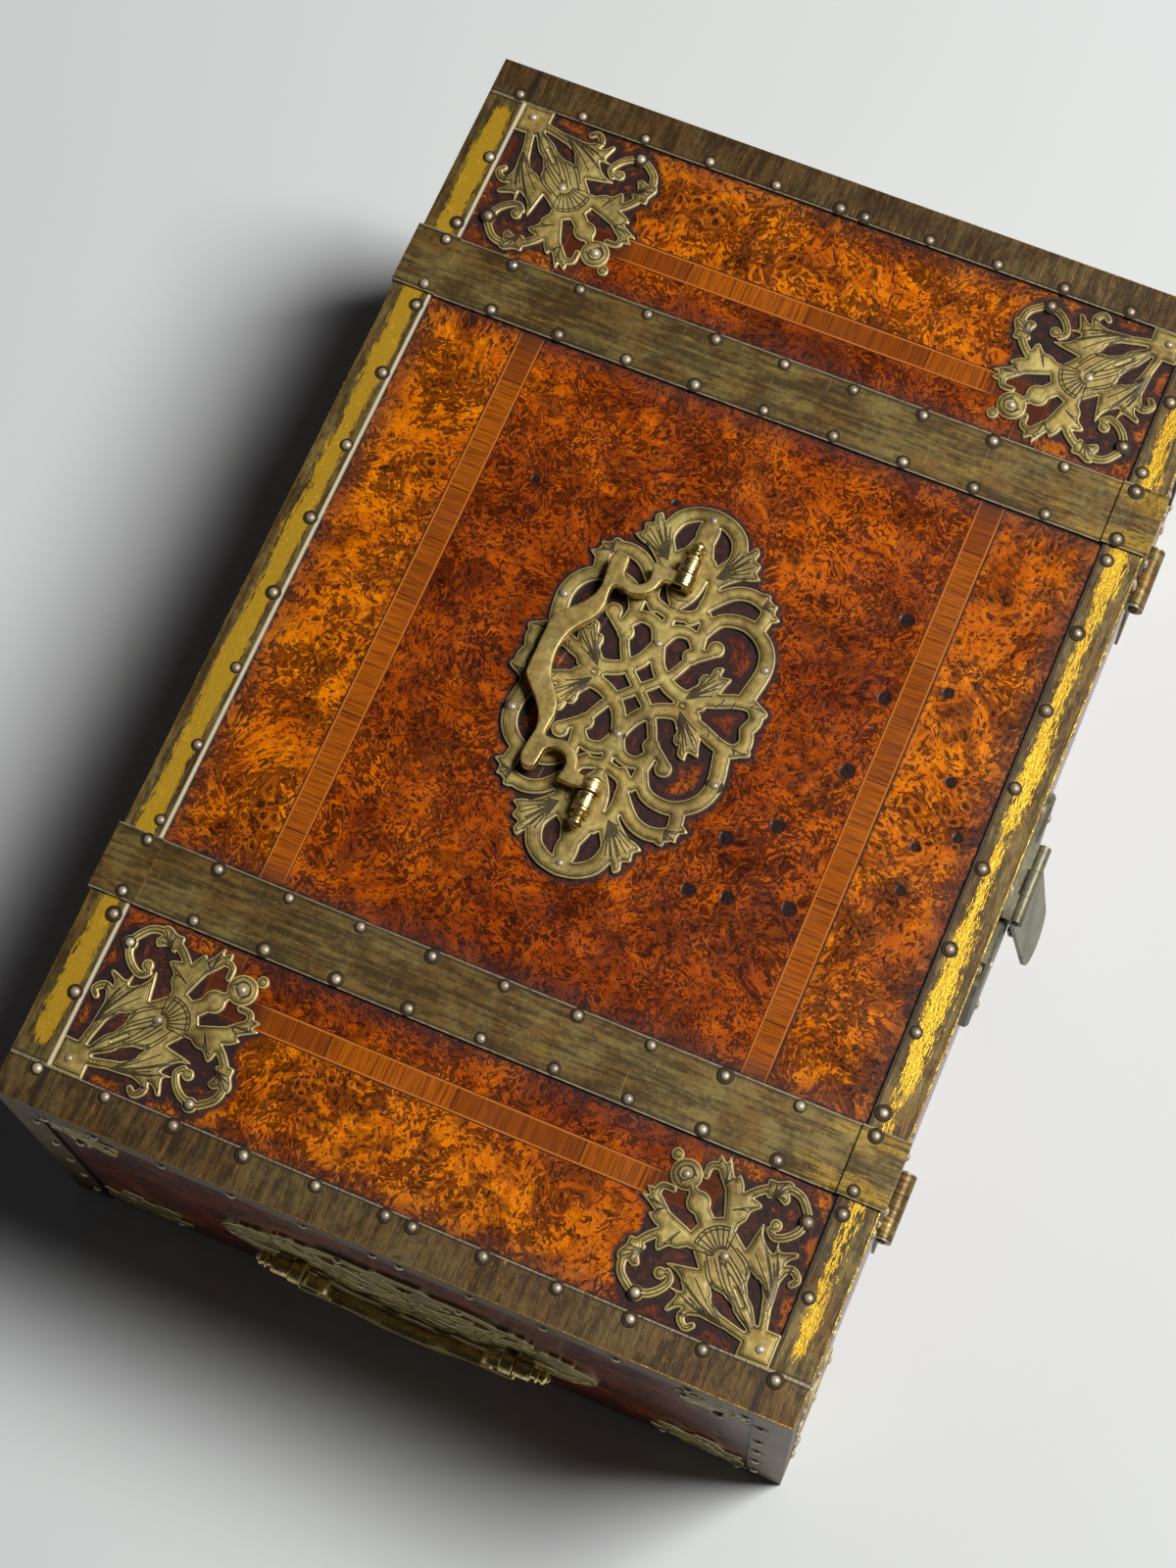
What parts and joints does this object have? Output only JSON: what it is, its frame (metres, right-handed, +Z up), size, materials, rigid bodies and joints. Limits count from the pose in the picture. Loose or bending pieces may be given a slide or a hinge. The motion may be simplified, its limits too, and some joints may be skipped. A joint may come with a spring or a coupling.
{
  "type": "strongbox",
  "caption": "Low rectangular veneered box with strap-bound hinged lid, pierced scroll mounts, drop handles on lid and ends, hanging hasps and a front lock plate.",
  "frame": {"origin": "middle of the underside", "axes": "+X along the length to the right seen from the front, -Y out of the front, +Z up"},
  "size_m": [0.4592, 0.3177, 0.1696],
  "materials": {
    "carcass_wood": "planed softwood, unfinished",
    "burl_veneer": "burl veneer, waxed",
    "crossband_veneer": "straight-grained veneer laid across the strip, waxed",
    "field_veneer": "darker burl veneer, waxed",
    "strap_brass": "tarnished, worn bright on the edges",
    "cross_strap_brass": "tarnished grey-olive, scratched",
    "mount_brass": "engraved and tarnished",
    "handle_brass": "cast, polished by use",
    "lock_brass": "filed and tarnished",
    "iron": "forged, dark"
  },
  "bodies": {
    "chest": {"bottom_board": "carcass_wood", "front_board": "carcass_wood", "back_board": "carcass_wood", "left_board": "carcass_wood", "right_board": "carcass_wood", "chest_front_veneer": "burl_veneer", "chest_back_veneer": "burl_veneer", "left_veneer": "burl_veneer", "right_veneer": "burl_veneer", "chest_corner_straps": "strap_brass", "foot_mounts": "mount_brass", "hinge_plates": "cross_strap_brass", "hinge_pins": "iron", "lock_plate": "lock_brass", "lock_case": "iron", "bolt_spring": "iron", "key_pin": "iron", "left_handle_plate": "mount_brass", "right_handle_plate": "mount_brass", "left_handle_posts": "handle_brass", "right_handle_posts": "handle_brass"},
    "lid": {"lid_panel": "carcass_wood", "lid_front_rail": "carcass_wood", "lid_back_rail": "carcass_wood", "lid_left_rail": "carcass_wood", "lid_right_rail": "carcass_wood", "lid_side_veneers": "burl_veneer", "lid_border_veneer": "burl_veneer", "lid_crossbanding": "crossband_veneer", "lid_field_veneer": "field_veneer", "lid_front_edge_strap": "strap_brass", "lid_back_edge_strap": "strap_brass", "lid_left_edge_strap_front": "strap_brass", "lid_left_edge_strap_back": "strap_brass", "lid_right_edge_strap_front": "strap_brass", "lid_right_edge_strap_back": "strap_brass", "lid_corner_straps": "strap_brass", "left_cross_strap": "cross_strap_brass", "right_cross_strap": "cross_strap_brass", "side_hasp_pins": "iron", "lid_front_left_mount": "mount_brass", "lid_front_right_mount": "mount_brass", "lid_back_left_mount": "mount_brass", "lid_back_right_mount": "mount_brass", "lid_side_mounts": "mount_brass", "lid_handle_plate": "mount_brass", "lid_handle_posts": "handle_brass", "hasp_hinge_plate": "lock_brass", "centre_hasp_pin": "iron"},
    "lid_handle": {"lid_bail": "handle_brass"},
    "left_handle": {"left_bail": "handle_brass"},
    "right_handle": {"right_bail": "handle_brass"},
    "hasp": {"centre_hasp": "lock_brass", "hasp_staple": "lock_brass"},
    "left_side_hasp": {"left_hasp": "cross_strap_brass"},
    "right_side_hasp": {"right_hasp": "cross_strap_brass"},
    "bolt": {"lock_bolt": "iron"}
  },
  "joints": [
    {"name": "lid_hinge", "type": "hinge", "parent": "chest", "child": "lid", "pos_m": [0, 0.15075, 0.11385], "axis": [-1, 0, 0], "range_deg": [0, 180]},
    {"name": "lid_bail_pivot", "type": "hinge", "parent": "lid", "child": "lid_handle", "pos_m": [0, 0, 0.1652], "axis": [1, 0, 0], "range_deg": [0, 180]},
    {"name": "left_bail_pivot", "type": "hinge", "parent": "chest", "child": "left_handle", "pos_m": [-0.2252, 0, 0.064], "axis": [0, 1, 0], "range_deg": [0, 180]},
    {"name": "right_bail_pivot", "type": "hinge", "parent": "chest", "child": "right_handle", "pos_m": [0.2252, 0, 0.064], "axis": [0, -1, 0], "range_deg": [0, 180]},
    {"name": "hasp_hinge", "type": "hinge", "parent": "lid", "child": "hasp", "pos_m": [0, -0.1533, 0.11385], "axis": [-1, 0, 0], "range_deg": [-9.5, 150]},
    {"name": "left_hasp_hinge", "type": "hinge", "parent": "lid", "child": "left_side_hasp", "pos_m": [-0.1289, -0.15075, 0.11385], "axis": [-1, 0, 0], "range_deg": [0, 150]},
    {"name": "right_hasp_hinge", "type": "hinge", "parent": "lid", "child": "right_side_hasp", "pos_m": [0.1289, -0.15075, 0.11385], "axis": [-1, 0, 0], "range_deg": [0, 150]},
    {"name": "bolt_slide", "type": "slide", "parent": "chest", "child": "bolt", "axis": [-1, 0, 0], "range_m": [0, 0.008]}
  ]
}
